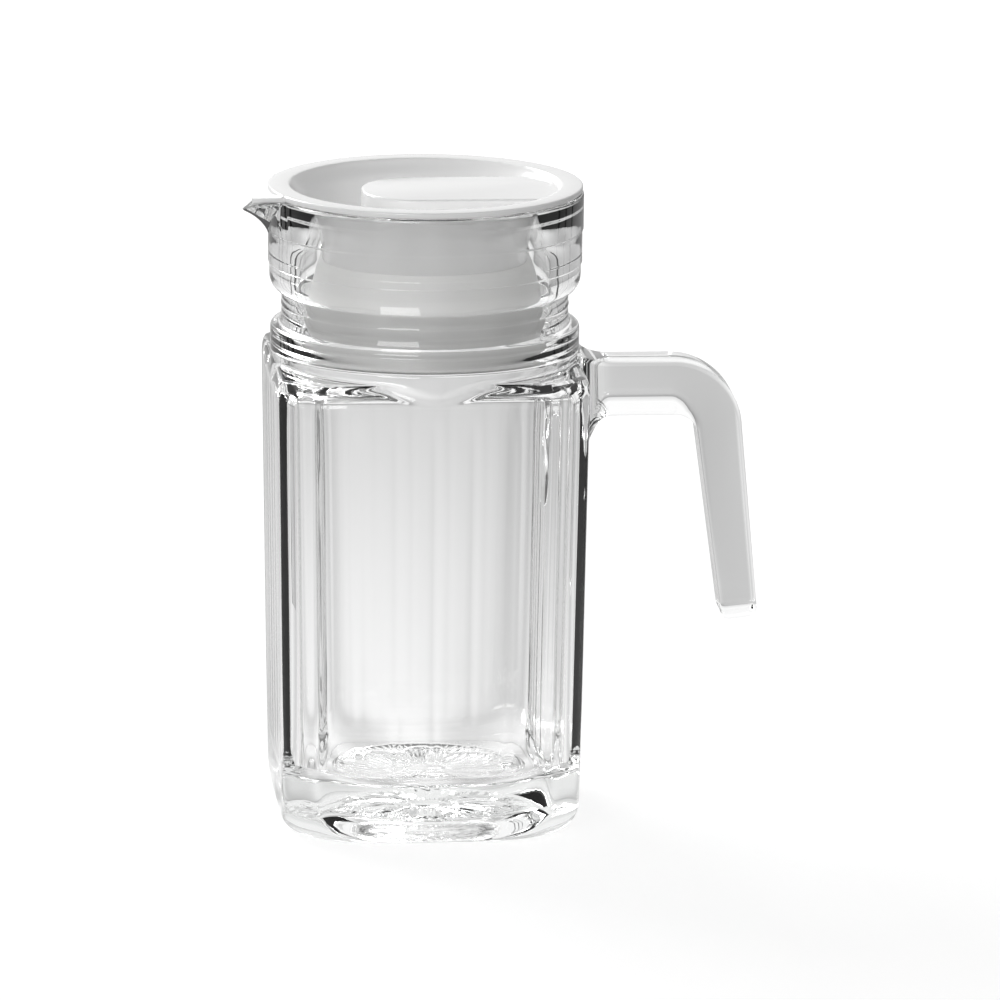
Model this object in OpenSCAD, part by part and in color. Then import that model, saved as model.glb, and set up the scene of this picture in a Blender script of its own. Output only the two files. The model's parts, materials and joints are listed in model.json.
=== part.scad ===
// Square glass pitcher with a hooked glass handle and a white push-in lid.
// Origin: centre of the foot, on the surface that the pitcher stands on.
// +Z is up, the spout points to -X and the handle to +X. Millimetres.

/* [Jug body] */
// Width across two opposite panels, at the top of the panels
body_w = 83.1; // [78:0.1:96]
// Leg of the flat that is cut from each upright corner
corner_leg = 8.75; // [5:0.25:12]
// Drop in width from the top of the panels to the heel
body_draft = 3.4; // [1:0.1:6]
// Height of the ledge on top of the panels
panel_top_z = 125.4; // [100:0.2:130]
// Height and inset of the rounding along the ledge's outer edge
ledge_round = 4.8; // [3:0.2:6]
// Thickness of the side walls
wall = 4; // [2.5:0.1:5.5]
// Height of the floor inside above the foot, in its middle
floor_z = 13; // [9:0.5:17]
// Height over which the floor curves up to the walls, like a bowl
bowl_h = 7.5; // [5:0.5:14]
// Height over which the heel rounds in to the foot
heel_h = 8; // [4:0.5:12]
// How far the foot is drawn in from the panels
heel_in = 3.6; // [2:0.1:5]
// Plan radius of the foot's corners
foot_corner_r = 20; // [14:0.5:26]
// Diameter of the round hollow under the foot, at the standing ring
kick_d = 62; // [50:1:64]
// Depth of the hollow under the foot
kick_h = 5.4; // [1:0.2:7]

/* [Shoulder, neck and collar] */
// Height of the glass, from the foot to the rim
glass_h = 170.2; // [165:0.2:190]
// Diameter of the round shoulder above the panels
shoulder_d = 82.6; // [80:0.2:83]
// Height of the round shoulder above the panels
shoulder_h = 9.2; // [7:0.2:12]
// Diameter of the waist between shoulder and collar
waist_d = 76.6; // [75:0.2:79]
// Diameter of the collar at the rim
collar_d = 84.6; // [82:0.2:92]
// Height of the collar
collar_h = 26.6; // [22:0.2:30]
// Height of the rounding under the collar
collar_round_h = 4.5; // [2:0.25:6]
// Distance from the rim down to the upper line on the collar
upper_line_drop = 9.8; // [7:0.2:13]
// Distance from the upper to the lower line on the collar
line_pitch = 9; // [7:0.2:11]
// Step in the radius at each line
line_step = 0.35; // [0.2:0.05:0.6]
// Bore of the neck
neck_bore_d = 68; // [66:0.2:70]
// Bore of the mouth, at the rim
mouth_d = 74.8; // [73.5:0.1:77]
// Depth of the cone that leads from the mouth into the neck
mouth_cone_h = 13; // [8:0.5:18]

/* [Spout] */
// Reach of the spout's tip beyond the collar
spout_reach = 6.9; // [4:0.1:9]
// Width of the spout where it leaves the rim
spout_w = 34.2; // [24:0.2:38]
// Drop of the tip below the rim
spout_drop = 4.8; // [3:0.1:6]
// Height of the beak, from the rim to the foot of its keel
spout_h = 10.8; // [8:0.2:14]
// Thickness of the spout's walls
spout_wall = 1.7; // [1.2:0.1:2.2]

/* [Handle] */
// Width of the handle
grip_w = 15; // [11:0.5:20]
// Thickness of the arm where it leaves the body
arm_t = 15.8; // [12:0.2:17]
// Thickness of the handle after the bend
grip_t = 12; // [9:0.25:14]
// Thickness of the handle at its free end
tip_t = 9.8; // [8:0.1:12]
// Height of the arm's top face
arm_top_z = 124.2; // [105:0.2:128]
// Reach of the straight arm from the body's panel
arm_reach = 25.4; // [20:0.2:34]
// Radius of the bend, along the middle of the handle
bend_r = 12; // [9:0.5:16]
// Length of the straight grip below the bend
grip_len = 53; // [40:0.5:70]
// Lean of the grip, outwards at its foot
grip_lean = 6.5; // [2:0.5:10]
// Length of the fillet at the root
root_fillet_len = 8; // [4:0.5:11]
// Extra depth of the fillet under the arm
root_fillet_under = 25; // [8:0.5:30]
// Extra depth of the fillet on the arm's other sides
root_fillet_side = 3.2; // [1.5:0.1:5]

/* [Lid] */
// Diameter of the lid's flange
lid_d = 84; // [82:0.2:92]
// Thickness of the flange
flange_t = 1.6; // [1.2:0.1:2.4]
// Width of the flat band around the dish
band_w = 5.65; // [4.5:0.05:7]
// Depth of the dish
dish_depth = 13; // [9:0.5:17]
// Wall of the mouldings
lid_wall = 1.6; // [1.2:0.1:2]
// Diameter of the dish's floor
dish_floor_d = 57; // [50:0.5:59]
// Width of the finger grip across the dish
tab_w = 32.8; // [24:0.2:36]
// Distance from the axis to the free end of the finger grip
tab_reach = 17; // [12:0.5:22]
// Radius of the corners at the grip's free end
tab_corner_r = 14.5; // [8:0.5:15]
// Depth of the grip's top face below the flange's top face
tab_drop = 1.4; // [0.6:0.1:3]
// Reach of the flap over the spout, beyond the flange
flap_reach = 4.3; // [2.5:0.1:5]

/* [Plug] */
// Diameter of the plug's skirt at its foot
plug_d = 64; // [60:0.1:66]
// Diameter of the plug's throat, where the cone under the dish meets the skirt
throat_d = 56.6; // [54:0.2:60]
// Height of the cone, from the flange down to the throat
cone_h = 17.4; // [15:0.2:20]
// Height of the lid, from the plug's lower edge to the flange's top face
lid_h = 44; // [36:0.5:50]
// Depth of the spigot that the plug is pressed onto
spigot_h = 4; // [2.5:0.25:7]

/* [Fits] */
// Gap between the flange and the glass rim, and between flap and spout
seat_gap = 0.2; // [0.1:0.05:0.4]
// Radial gap between the dish and the mouth of the glass
mouth_gap = 0.5; // [0.3:0.1:1]

/* [Hidden] */

// Overrun of every cut, and thickness of the sheets that a rounded body is drawn between
over = 1;
sheet = 0.02;
quarter_turn = 90;
// Sides of round children of a hull, and of turned shapes
hull_sides = 40;
turned_sides = 128;

body_top_half = body_w / 2;
body_low_half = body_top_half - body_draft / 2;
rim_r = collar_d / 2;
mouth_r = mouth_d / 2;
bore_r = neck_bore_d / 2;
waist_r = waist_d / 2;
shoulder_r = shoulder_d / 2;
shoulder_top_z = panel_top_z + shoulder_h;
collar_foot_z = glass_h - collar_h;

// Rounded top edge of the shoulder, as a share of its height
shoulder_edge_share = 0.18;
shoulder_edge = shoulder_h * shoulder_edge_share;
// Rounding of the ledge: [height below the ledge, inset] as shares of ledge_round
ledge_shares = [[1, 0], [0.45, 0.12], [0.12, 0.3], [0, 0.5]];
// Heights and inward offsets of the rounded heel, as shares of its height and of its inset
heel_height_shares = [0, 0.1, 0.34];
heel_inset_shares = [1, 0.58, 0.22];
// Curve of the floor inside: [radius, height] as shares of the half width and of bowl_h
bowl_shares = [[0.2, 0], [0.56, 0.06], [0.8, 0.17]];
// The same for the level above, which is square with round corners
bowl_edge_share = [0.93, 0.36];
// How far the hollow under the foot narrows on each side, as a share of its depth
kick_draft_share = 0.45;

// Corners of a square with half width h and a flat of leg c cut from each corner
function cut_square(h, c) = [
    for (turn = [0:3], side = [-1, 1])
        let (a = side < 0 ? -(h - c) : h - c)
        [cos(quarter_turn * turn) * h - sin(quarter_turn * turn) * a,
         sin(quarter_turn * turn) * h + cos(quarter_turn * turn) * a]
];

// One thin sheet of the squared body at height z
module cut_sheet(h, c, z) {
    translate([0, 0, z])
        linear_extrude(sheet)
            polygon(cut_square(h, c));
}

// One thin sheet with round corners at height z
module round_sheet(h, r, z) {
    for (x = [-1, 1], y = [-1, 1])
        translate([x * (h - r), y * (h - r), z])
            cylinder(h = sheet, r = r, $fn = hull_sides);
}

// One thin round sheet at height z
module disc_sheet(r, z) {
    translate([0, 0, z])
        cylinder(h = sheet, r = r, $fn = 2 * hull_sides);
}

// Outside of the jug from the foot to the ledge on top of the panels
module body_outside() {
    hull() {
        for (i = [0:len(heel_height_shares) - 1])
            round_sheet(body_low_half - heel_in * heel_inset_shares[i], foot_corner_r,
                        heel_h * heel_height_shares[i]);
        cut_sheet(body_low_half, corner_leg, heel_h);
        for (s = ledge_shares)
            cut_sheet(body_top_half - ledge_round * s[1], corner_leg, panel_top_z - ledge_round * s[0] - sheet);
    }
}

// Inside of the jug, a wall's thickness in from the outside, from the bowl of the floor up into the neck
module body_inside() {
    low = body_low_half - wall;
    top = body_top_half - wall;
    leg = corner_leg - wall * (2 - sqrt(2));
    hull() {
        for (s = bowl_shares)
            disc_sheet(low * s[0], floor_z + bowl_h * s[1]);
        round_sheet(low * bowl_edge_share[0], foot_corner_r, floor_z + bowl_h * bowl_edge_share[1]);
        cut_sheet(low, leg, floor_z + bowl_h);
        cut_sheet(top, leg, panel_top_z - 2 * wall);
        disc_sheet(shoulder_r - wall, panel_top_z - wall / 2);
        disc_sheet(bore_r - wall / 4, shoulder_top_z - wall / 2);
    }
}

// Turned outside of the shoulder. It starts inside the body and ends inside the waist.
module shoulder_outside() {
    rotate_extrude($fn = turned_sides)
        polygon([
            [0, panel_top_z - 2 * ledge_round], [waist_r, panel_top_z - 2 * ledge_round],
            [shoulder_r, panel_top_z - ledge_round], [shoulder_r, shoulder_top_z - shoulder_edge],
            [shoulder_r - shoulder_edge / 3, shoulder_top_z - shoulder_edge / 3],
            [shoulder_r - shoulder_edge, shoulder_top_z],
            [waist_r - shoulder_edge, shoulder_top_z + 2 * shoulder_edge],
            [0, shoulder_top_z + 2 * shoulder_edge]
        ]);
}

// Turned outside of waist and collar, with a line at each step of the radius
module collar_outside() {
    upper_z = glass_h - upper_line_drop;
    lower_z = upper_z - line_pitch;
    step = line_step;
    foot_r = rim_r - 2 * step;
    bulge = foot_r - waist_r;
    rim_edge = spout_wall / 2;
    rotate_extrude($fn = turned_sides)
        polygon(concat(
            [[0, panel_top_z - ledge_round], [waist_r, panel_top_z - ledge_round]],
            [for (a = [0:15:90])
                [waist_r + bulge * sin(a), collar_foot_z + collar_round_h * (1 - cos(a))]],
            [[foot_r, lower_z - step], [rim_r - step, lower_z]],
            [[rim_r - step, upper_z - step], [rim_r, upper_z]],
            [[rim_r, glass_h - rim_edge], [rim_r - rim_edge / 3, glass_h - rim_edge / 3],
             [rim_r - rim_edge, glass_h], [0, glass_h]]
        ));
}

// Bore of the neck and the cone of the mouth
module neck_bore() {
    cone_z = glass_h - mouth_cone_h;
    rotate_extrude($fn = turned_sides)
        polygon([
            [0, shoulder_top_z - 2 * wall], [bore_r, shoulder_top_z - 2 * wall], [bore_r, cone_z],
            [mouth_r, glass_h], [mouth_r, glass_h + over], [0, glass_h + over]
        ]);
}

// Three-sided beak under the rim, and the channel in it
spout_half = spout_w / 2;
spout_root_x = sqrt(rim_r * rim_r - spout_half * spout_half);
spout_tip_x = rim_r + spout_reach;
spout_tip_z = glass_h - spout_drop;
spout_slope = spout_drop / (spout_tip_x - spout_root_x);

module bead(x, y, z, r) {
    translate([x, y, z])
        sphere(r = r, $fn = hull_sides);
}

// The beak is drawn a little too high, and spout_dip cuts it and the rim to one slope
module spout_outside() {
    tip_r = spout_wall / 2;
    hull() {
        for (side = [-1, 1])
            bead(-(spout_root_x - tip_r), side * (spout_half - spout_wall), glass_h - tip_r - line_step, tip_r);
        bead(-(rim_r - spout_wall), 0, glass_h - spout_h - tip_r, tip_r);
        bead(-(spout_tip_x - tip_r), 0, spout_tip_z + tip_r, tip_r);
        bead(-(bore_r + wall), 0, glass_h - spout_h, tip_r);
    }
}

module spout_dip() {
    translate([-spout_root_x, 0, glass_h])
        rotate([0, -atan(spout_slope), 0])
            translate([-spout_tip_x, -(spout_half + over), 0])
                cube([spout_tip_x, 2 * (spout_half + over), spout_h]);
}

module spout_channel() {
    inset = 2 * spout_wall;
    floor_r = spout_wall / 2;
    hull() {
        for (side = [-1, 1])
            bead(-bore_r, side * (spout_half - inset), glass_h + over, floor_r);
        bead(-bore_r, 0, glass_h - spout_h + inset, floor_r);
        for (z = [spout_tip_z + inset / 2, glass_h + over])
            bead(-(spout_tip_x - inset / 2), 0, z, floor_r);
    }
}

// Flat hollow with a sloping side cut into the underside, so that the jug stands on a ring
module kick() {
    draft = kick_h * kick_draft_share;
    translate([0, 0, -over])
        cylinder(h = kick_h + over, r1 = kick_d / 2, r2 = kick_d / 2 - draft, $fn = turned_sides);
}

module glass_jug() {
    color([0.84, 0.88, 0.88, 0.5])
        difference() {
            union() {
                body_outside();
                shoulder_outside();
                collar_outside();
                spout_outside();
            }
            body_inside();
            neck_bore();
            spout_channel();
            spout_dip();
            kick();
        }
}

// Middle line of the handle in the plane y = 0: the arm, the bend, the grip and a rounded end.
// Each station is [x, z, heading, thickness, share of the section that is rounded, scale of the width].
bend_turn = quarter_turn - grip_lean;
arm_mid_z = arm_top_z - arm_t / 2;
arm_start_x = body_top_half - wall / 2;
bend_x = body_top_half + arm_reach;
bend_end = [bend_x + bend_r * sin(bend_turn), arm_mid_z - bend_r * (1 - cos(bend_turn))];
arm_steps = 12;
// Power that crowds the arm's stations towards the root, where the fillet is
arm_crowding = 1.5;
bend_steps = 12;
grip_steps = 6;
end_steps = 5;
end_len = tip_t / 3;
// Share of the arm's thickness that the rounded underside takes, and the same on the grip
arm_round_share = 0.42;
grip_round_share = 0.12;
// Radius of the two edges on the outer face
outer_edge_r = grip_w * 0.08;

function blend(a, b, t) = a + (b - a) * t;
function grip_point(t) = bend_end + (grip_len - end_len) * t * [cos(bend_turn), -sin(bend_turn)];

arm_stations = [
    for (i = [0:arm_steps])
        [blend(arm_start_x, bend_x, pow(i / arm_steps, arm_crowding)), arm_mid_z, 0, arm_t, arm_round_share, 1]
];
bend_stations = [
    for (i = [1:bend_steps])
        let (t = i / bend_steps, a = bend_turn * t)
        [bend_x + bend_r * sin(a), arm_mid_z - bend_r * (1 - cos(a)), a,
         blend(arm_t, grip_t, t), blend(arm_round_share, grip_round_share, t), 1]
];
grip_stations = [
    for (i = [1:grip_steps])
        let (t = i / grip_steps, p = grip_point(t))
        [p.x, p.y, bend_turn, blend(grip_t, tip_t, t), grip_round_share, 1]
];
end_stations = [
    for (i = [1:end_steps])
        let (a = 80 * i / end_steps, p = grip_point(1) + end_len * sin(a) * [cos(bend_turn), -sin(bend_turn)],
             s = blend(1, cos(a), 0.5))
        [p.x, p.y, bend_turn, tip_t * s, grip_round_share, s]
];
stations = concat(arm_stations, bend_stations, grip_stations, end_stations);

// How far the root's fillet has grown at x, as a share: nothing at its start, full at the panel
function fillet_share(x) =
    let (d = min(1, max(0, (bend_x - arm_reach + root_fillet_len - x) / root_fillet_len)))
    1 - sqrt(1 - d * d);

// Outline of one section, as [across, out] points: flat outer face, rounded inner face
corner_steps = 4;
function arc_points(cx, cy, rx, ry, from) = [
    for (i = [0:corner_steps])
        let (a = from + quarter_turn * i / corner_steps)
        [cx + rx * cos(a), cy + ry * sin(a)]
];
function section(half_w, out, under, round_h) =
    let (rx = min(half_w, max(outer_edge_r, round_h)), e = outer_edge_r)
    concat(
        arc_points(half_w - e, out - e, e, e, 0),
        arc_points(-(half_w - e), out - e, e, e, quarter_turn),
        arc_points(-(half_w - rx), -under + round_h, rx, round_h, 2 * quarter_turn),
        arc_points(half_w - rx, -under + round_h, rx, round_h, 3 * quarter_turn)
    );

// One ring of points of the handle, in space
function handle_ring(s) =
    let (f = fillet_share(s[0]), half_w = grip_w / 2 * s[5] + root_fillet_side * f,
         out = s[3] / 2 + root_fillet_side * f, under = s[3] / 2 + root_fillet_under * f)
    [
        for (p = section(half_w, out, under, s[3] * s[4] + root_fillet_side * f))
            [s[0] + p.y * sin(s[2]), p.x, s[1] + p.y * cos(s[2])]
    ];

// Closed skin over rings that hold the same number of points
module skin(rings) {
    n = len(rings[0]);
    last = len(rings) - 1;
    polyhedron(
        points = [for (ring = rings) each ring],
        faces = concat(
            [[for (i = [0:n - 1]) i]],
            [[for (i = [n - 1:-1:0]) last * n + i]],
            [for (k = [0:last - 1], i = [0:n - 1])
                let (j = (i + 1) % n)
                each [[k * n + i, (k + 1) * n + i, (k + 1) * n + j],
                      [k * n + i, (k + 1) * n + j, k * n + j]]]
        )
    );
}

module handle() {
    color([0.9, 0.92, 0.92, 0.6])
        difference() {
            skin([for (s = stations) handle_ring(s)]);
            body_outside();
            shoulder_outside();
            collar_outside();
        }
}

// The lid is drawn where it sits, with its flange just above the glass rim
lid_under_z = glass_h + seat_gap;
lid_top_z = lid_under_z + flange_t;
dish_r = lid_d / 2 - band_w;
dish_floor_r = dish_floor_d / 2;
dish_floor_z = lid_top_z - dish_depth;
dish_under_z = dish_floor_z - lid_wall;
dish_out_r = mouth_r - mouth_gap;
dish_in_r = dish_out_r - lid_wall;
plug_r = plug_d / 2;
plug_foot_z = lid_top_z - lid_h;
throat_r = throat_d / 2;
throat_in_r = throat_r - lid_wall;
throat_z = lid_under_z - cone_h;
flange_r = lid_d / 2;

// Inner side of the dish: its lip over the rim, and the curve below that as shares of width and depth
dish_side_shares = [[1, 0], [0.62, 0.2], [0.25, 0.6], [0.08, 0.85], [0, 1]];
function dish_side(gap) = concat(
    [[dish_r + gap, lid_top_z]],
    [for (s = dish_side_shares)
        [blend(dish_floor_r, dish_in_r, s[0]) + gap, blend(lid_under_z, dish_floor_z, s[1])]]
);

// Turned dish with its flange, and the cone outside it; the plug's top lands on the cone's foot
module dish_and_flange() {
    edge = flange_t / 4;
    rotate_extrude($fn = turned_sides)
        polygon(concat(
            dish_side(0),
            [[0, dish_floor_z], [0, dish_under_z], [throat_in_r, dish_under_z]],
            [[throat_in_r, throat_z], [throat_r, throat_z], [dish_out_r, lid_under_z - lid_wall]],
            [[dish_out_r, lid_under_z], [flange_r - edge, lid_under_z], [flange_r, lid_under_z + edge]],
            [[flange_r, lid_top_z - edge], [flange_r - edge, lid_top_z]]
        ));
}

// Plan of the finger grip, with its free end rounded; it runs to the far side of the dish
module tab_plan(inset) {
    r = tab_corner_r - inset;
    half = tab_w / 2 - inset;
    end = -(tab_reach - inset);
    for (side = [-1, 1])
        translate([end + r, side * (half - r)])
            circle(r = r, $fn = turned_sides);
    translate([end, -(half - r)])
        square([r, 2 * (half - r)]);
    translate([end + r, -half])
        square([dish_r - (end + r), 2 * half]);
}

// Block that fills the dish's outline, used to end the finger grip on the dish's side
module dish_core(gap) {
    rotate_extrude($fn = turned_sides)
        polygon(concat(dish_side(gap), [[0, dish_floor_z], [0, lid_top_z]]));
}

// Hollow finger grip, open from below
module finger_grip() {
    top_z = lid_top_z - tab_drop;
    intersection() {
        translate([0, 0, dish_floor_z - lid_wall])
            linear_extrude(top_z - dish_floor_z + lid_wall)
                tab_plan(0);
        dish_core(lid_wall / 2);
    }
}

module finger_grip_hollow() {
    top_z = lid_top_z - tab_drop;
    intersection() {
        translate([0, 0, dish_under_z - over])
            linear_extrude(top_z - lid_wall - dish_under_z + over)
                tab_plan(lid_wall);
        translate([0, 0, dish_under_z - over])
            cylinder(h = lid_h, r = throat_in_r - 2 * lid_wall, $fn = turned_sides);
    }
}

// Flap over the spout, parallel to the beak's slope
module flap() {
    root_half = spout_half - spout_wall;
    slope = atan(spout_slope);
    len = (flange_r + flap_reach - spout_root_x) / cos(slope);
    intersection() {
        translate([-spout_root_x, 0, lid_under_z])
            rotate([0, -slope, 0])
                hull() {
                    for (side = [-1, 1])
                        translate([0, side * root_half, 0])
                            cylinder(h = flange_t, r = flange_t / 2, $fn = hull_sides);
                    translate([-(len - flange_t), 0, 0])
                        cylinder(h = flange_t, r = flange_t, $fn = hull_sides);
                }
        translate([0, 0, plug_foot_z])
            cylinder(h = lid_h, r = flange_r + flap_reach, $fn = turned_sides);
    }
}

// Ring inside the cone's foot that the plug is pressed onto
module spigot() {
    foot_z = throat_z - spigot_h;
    translate([0, 0, foot_z])
        difference() {
            cylinder(h = dish_under_z - foot_z + lid_wall / 2, r = throat_in_r, $fn = turned_sides);
            translate([0, 0, -over])
                cylinder(h = dish_under_z - foot_z + over, r = throat_in_r - lid_wall, $fn = turned_sides);
        }
}

module lid_cover() {
    color([0.96, 0.96, 0.95])
        difference() {
            union() {
                dish_and_flange();
                finger_grip();
                flap();
                spigot();
            }
            finger_grip_hollow();
        }
}

// Flared skirt that stops the neck: it hugs the spigot at the top and widens down to its foot
skirt_shares = [[0, 0], [0.46, 0.3], [0.82, 0.58], [0.97, 0.85], [1, 1]];
function skirt_side(gap) = [
    for (s = skirt_shares)
        [blend(throat_r, plug_r, s[0]) - gap, blend(throat_z, plug_foot_z, s[1])]
];

module lid_plug() {
    hug_z = throat_z - spigot_h;
    inner = [for (p = skirt_side(lid_wall)) if (p.y < hug_z) p];
    color([0.9, 0.9, 0.89])
        rotate_extrude($fn = turned_sides)
            polygon(concat(
                skirt_side(0),
                [for (i = [len(inner) - 1:-1:0]) inner[i]],
                [[throat_in_r, hug_z], [throat_in_r, throat_z]]
            ));
}

glass_jug();
handle();
lid_cover();
lid_plug();
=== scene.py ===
import json
import math

import bpy
from mathutils import Matrix, Vector

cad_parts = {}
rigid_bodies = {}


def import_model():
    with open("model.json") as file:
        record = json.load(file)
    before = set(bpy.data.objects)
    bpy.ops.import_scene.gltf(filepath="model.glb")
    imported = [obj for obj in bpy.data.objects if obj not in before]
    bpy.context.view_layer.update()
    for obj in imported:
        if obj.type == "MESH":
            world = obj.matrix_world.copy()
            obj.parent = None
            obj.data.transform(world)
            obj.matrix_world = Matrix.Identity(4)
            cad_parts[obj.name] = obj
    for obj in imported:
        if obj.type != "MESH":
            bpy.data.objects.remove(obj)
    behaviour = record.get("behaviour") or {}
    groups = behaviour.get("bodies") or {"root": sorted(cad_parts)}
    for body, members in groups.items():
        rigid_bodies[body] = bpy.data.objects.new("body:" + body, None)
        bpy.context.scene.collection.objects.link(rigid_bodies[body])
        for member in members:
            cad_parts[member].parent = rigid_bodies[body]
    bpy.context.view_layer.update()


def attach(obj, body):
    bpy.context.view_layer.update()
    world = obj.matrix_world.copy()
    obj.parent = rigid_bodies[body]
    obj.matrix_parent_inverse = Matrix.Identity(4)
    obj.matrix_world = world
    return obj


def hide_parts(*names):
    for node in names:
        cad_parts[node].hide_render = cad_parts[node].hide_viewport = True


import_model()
mm = 0.001  # shapes are in millimetres until a mesh is placed, all else is in metres


# The camera stands far back with a long lens, turned a little to the left of the front
view = {
    "place": (-0.24118, -2.91804, 0.73934), "azimuth": -5.125, "elevation": 12.585, "roll": 0.403,
    "lens": 402.9, "sensor": 36.0, "clipEnd": 50,
}


def placeCamera():
    data = bpy.data.cameras.new("photoCamera")
    data.lens = view["lens"]
    data.sensor_width = view["sensor"]
    data.clip_end = view["clipEnd"]
    camera = bpy.data.objects.new("photoCamera", data)
    bpy.context.scene.collection.objects.link(camera)
    turn = Matrix.Rotation(math.radians(view["azimuth"]), 4, "Z")
    tilt = Matrix.Rotation(math.radians(90 - view["elevation"]), 4, "X")
    roll = Matrix.Rotation(math.radians(view["roll"]), 4, "Z")
    camera.matrix_world = Matrix.Translation(view["place"]) @ turn @ tilt @ roll
    bpy.context.scene.camera = camera


placeCamera()
bpy.context.scene.view_settings.view_transform = "Standard"
print("camera ready")


# Small tools that the pieces share

weldDistance = 0.001 * mm  # points closer than this become one
spinWeldDistance = 0.004 * mm
bead = {"segments": 16, "rings": 8}


def deselectAll():
    if bpy.context.mode != "OBJECT":
        bpy.ops.object.mode_set(mode="OBJECT")
    bpy.ops.object.select_all(action="DESELECT")


def activate(piece):
    deselectAll()
    piece.select_set(True)
    bpy.context.view_layer.objects.active = piece


def settle(piece):  # object at the origin, its place in its mesh
    activate(piece)
    bpy.ops.object.transform_apply(location=True, rotation=True, scale=True)


def mix(a, b, t):
    return a + (b - a) * t


def smoothStep(low, high, x):
    t = min(1.0, max(0.0, (x - low) / (high - low)))
    return t * t * (3 - 2 * t)


def bell(x, middle, width):
    return math.exp(-((x - middle) / width) ** 2)


def cornerCurve(start, corner, end, count):  # count points from start to end, pulled towards the corner
    points = []
    for i in range(count):
        t = i / (count - 1)
        points.append(tuple((1 - t) ** 2 * a + 2 * t * (1 - t) * c + t * t * b
                            for a, c, b in zip(start, corner, end)))
    return points


def softLine(stops, steps=5):  # stops are (r, z, rounding), and a rounding of 0 stays sharp
    points = []
    for i, (r, z, rounding) in enumerate(stops):
        if rounding == 0 or i in (0, len(stops) - 1):
            points.append((r, z))
            continue
        ends = []
        for other in (stops[i - 1], stops[i + 1]):
            length = math.hypot(other[0] - r, other[1] - z)
            share = min(rounding, 0.45 * length) / length  # never past the middle of the stretch
            ends.append((mix(r, other[0], share), mix(z, other[1], share)))
        points += cornerCurve(ends[0], (r, z), ends[1], steps)
    return points


def closeSkin(distance):  # in edit mode: merges doubles and turns the faces outward
    bpy.ops.mesh.select_all(action="SELECT")
    bpy.ops.mesh.remove_doubles(threshold=distance)
    bpy.ops.mesh.select_all(action="SELECT")
    bpy.ops.mesh.normals_make_consistent(inside=False)
    bpy.ops.object.mode_set(mode="OBJECT")


def placedGrid(name, columns, rows, place):  # a grid whose points go where place(column, row) says
    deselectAll()
    bpy.ops.mesh.primitive_grid_add(x_subdivisions=columns, y_subdivisions=rows, size=2)
    piece = bpy.context.active_object
    piece.name = name
    for vertex in piece.data.vertices:  # the grid runs from -1 to 1
        column = round((vertex.co.x + 1) / 2 * columns)
        row = round((vertex.co.y + 1) / 2 * rows)
        vertex.co = Vector(place(column, row)) * mm
    bpy.ops.object.mode_set(mode="EDIT")
    closeSkin(weldDistance)
    return piece


# An outline of (r, z) is drawn from one point by extruding, then spun about the upright axis
def spunPiece(name, outline, columns):
    deselectAll()
    bpy.ops.mesh.primitive_plane_add(size=mm)
    piece = bpy.context.active_object
    piece.name = name
    bpy.ops.object.mode_set(mode="EDIT")
    bpy.ops.mesh.select_all(action="SELECT")
    bpy.ops.mesh.merge(type="CENTER")
    bpy.ops.transform.translate(value=(outline[0][0] * mm, 0, outline[0][1] * mm))
    for a, b in zip(outline, outline[1:]):
        step = ((b[0] - a[0]) * mm, 0, (b[1] - a[1]) * mm)
        bpy.ops.mesh.extrude_region_move(TRANSFORM_OT_translate={"value": step})
    bpy.ops.mesh.select_all(action="SELECT")
    bpy.ops.mesh.spin(steps=columns, angle=2 * math.pi, center=(0, 0, 0), axis=(0, 0, 1))
    closeSkin(spinWeldDistance)
    return piece


def roundBar(columns, radius, length, place, rotation=(0, 0, 0)):  # a cylinder that trims another piece
    deselectAll()
    bpy.ops.mesh.primitive_cylinder_add(vertices=columns, radius=radius * mm, depth=length * mm,
                                        rotation=rotation, location=[v * mm for v in place])
    piece = bpy.context.active_object
    settle(piece)
    return piece


def combine(piece, other, operation):  # boolean that uses up the other piece
    activate(piece)
    cut = piece.modifiers.new(operation.lower(), "BOOLEAN")
    cut.operation = operation
    cut.solver = "EXACT"
    cut.object = other
    bpy.ops.object.modifier_apply(modifier=cut.name)
    bpy.data.objects.remove(other, do_unlink=True)


def hullOfBeads(name, beads):  # beads are (x, y, z, radius)
    deselectAll()
    parts = []
    for x, y, z, radius in beads:
        bpy.ops.mesh.primitive_uv_sphere_add(segments=bead["segments"], ring_count=bead["rings"],
                                             radius=radius * mm, location=(x * mm, y * mm, z * mm))
        parts.append(bpy.context.active_object)
    for part in parts:
        part.select_set(True)
    bpy.context.view_layer.objects.active = parts[0]
    bpy.ops.object.join()
    piece = bpy.context.active_object
    piece.name = name
    settle(piece)
    bpy.ops.object.mode_set(mode="EDIT")
    bpy.ops.mesh.select_all(action="SELECT")
    bpy.ops.mesh.convex_hull(join_triangles=False)
    closeSkin(weldDistance)
    return piece


def finishPiece(piece, name, sharpAngle):
    piece.name = name
    piece.data.name = name
    activate(piece)
    bpy.ops.object.shade_smooth_by_angle(angle=math.radians(sharpAngle))
    settle(piece)
    triangles = sum(len(face.vertices) - 2 for face in piece.data.polygons)
    print(f"{name}: {triangles} triangles")


def dress(piece, material):
    piece.data.materials.clear()
    piece.data.materials.append(material)


# The glass: one pressed piece with its handle, made as one skin from the underside to the floor inside

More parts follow.
